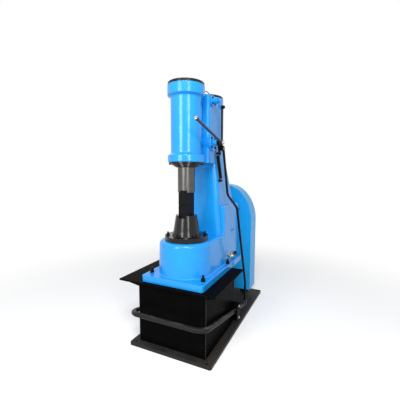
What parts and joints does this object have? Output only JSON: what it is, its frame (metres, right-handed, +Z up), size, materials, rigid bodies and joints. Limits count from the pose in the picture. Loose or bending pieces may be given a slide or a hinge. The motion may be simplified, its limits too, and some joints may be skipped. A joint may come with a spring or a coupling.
{
  "type": "pneumatic forging hammer",
  "caption": "Self-contained air forging hammer: cast column with twin cylinders, ram and dies over a tapered anvil, on a black stand with treadle, lever and belt guard.",
  "frame": {"origin": "centre of the base plate's underside", "axes": "+Z up; +Y to the rear, where the belt guard is; +X to the side of the valves, the hand lever and the treadle rod"},
  "size_m": [0.661, 1.1836, 1.639],
  "materials": {
    "blue_paint": "glossy sky-blue enamel over cast iron and sheet",
    "black_paint": "glossy black enamel",
    "worn_plate": "scuffed black paint, brownish grey where trodden",
    "polished_steel": "ground and polished",
    "die_steel": "dark hardened tool steel",
    "black_oxide": "blackened steel",
    "motor_paint": "satin blue enamel on cast ribs",
    "brass": "plain brass",
    "red_handle": "red plastic dip"
  },
  "bodies": {
    "frame": {"base_plate": "worn_plate", "stand_front_wall": "black_paint", "stand_rear_wall": "black_paint", "stand_left_wall": "black_paint", "stand_right_wall": "black_paint", "chip_tray": "black_paint", "tray_ribs": "black_paint", "frame_casting": "blue_paint", "front_cylinder_cap": "black_paint", "front_cap_plug": "black_oxide", "rear_cylinder_cap": "black_paint", "ram_gland": "black_oxide", "gland_wiper": "polished_steel", "lower_die": "die_steel", "lower_die_key": "die_steel", "anvil_block": "black_paint", "anvil_studs": "black_oxide", "frame_anchor_nuts": "black_oxide", "lower_valve_cover": "blue_paint", "upper_valve_cover": "blue_paint", "return_spring": "black_oxide", "spring_anchor": "black_oxide", "treadle_brackets": "black_paint", "belt_guard": "blue_paint", "guard_cover": "blue_paint", "guard_feet": "black_paint", "guard_stays": "blue_paint", "bearing_cover": "blue_paint", "crankshaft": "polished_steel", "motor": "motor_paint", "motor_rails": "black_paint", "terminal_box": "motor_paint", "drain_cock": "brass", "drain_cock_handle": "red_handle", "oil_plug": "black_oxide"},
    "ram": {"ram": "polished_steel", "upper_die": "die_steel", "upper_die_key": "die_steel"},
    "treadle": {"treadle": "black_paint"},
    "treadle_rod": {"treadle_rod": "black_oxide"},
    "lower_crank": {"lower_valve_crank": "black_oxide", "hand_lever": "polished_steel"},
    "valve_link": {"valve_link": "black_oxide"},
    "upper_crank": {"upper_valve_crank": "black_oxide"}
  },
  "joints": [
    {"name": "ram_slide", "type": "slide", "parent": "frame", "child": "ram", "axis": [0, 0, 1], "range_m": [0, 0.135]},
    {"name": "treadle_hinge", "type": "hinge", "parent": "frame", "child": "treadle", "pos_m": [0, -0.08, 0.118], "axis": [1, 0, 0], "range_deg": [0, 10], "stiffness_Nm_per_rad": 150, "springref_deg": -20.05},
    {"name": "rod_hinge", "type": "hinge", "parent": "treadle", "child": "treadle_rod", "pos_m": [0.252, 0.15049, 0.06732], "axis": [1, 0, 0], "range_deg": [-11, 1]},
    {"name": "lower_crank_hinge", "type": "hinge", "parent": "frame", "child": "lower_crank", "pos_m": [0.13, -0.19, 1.28], "axis": [1, 0, 0], "range_deg": [-1, 52], "deforming": ["return_spring"]},
    {"name": "link_hinge", "type": "hinge", "parent": "lower_crank", "child": "valve_link", "pos_m": [0.165, -0.15197, 1.24454], "axis": [1, 0, 0], "range_deg": [-52, 1]},
    {"name": "upper_crank_hinge", "type": "hinge", "parent": "frame", "child": "upper_crank", "pos_m": [0.13, -0.19, 1.545], "axis": [1, 0, 0], "range_deg": [-1, 52]}
  ],
  "couplings": [
    {"joint": "rod_hinge", "follows": "treadle_hinge", "ratio": -1.041},
    {"joint": "lower_crank_hinge", "follows": "treadle_hinge", "ratio": 5.1},
    {"joint": "link_hinge", "follows": "treadle_hinge", "ratio": -5.1},
    {"joint": "upper_crank_hinge", "follows": "treadle_hinge", "ratio": 5.1}
  ]
}
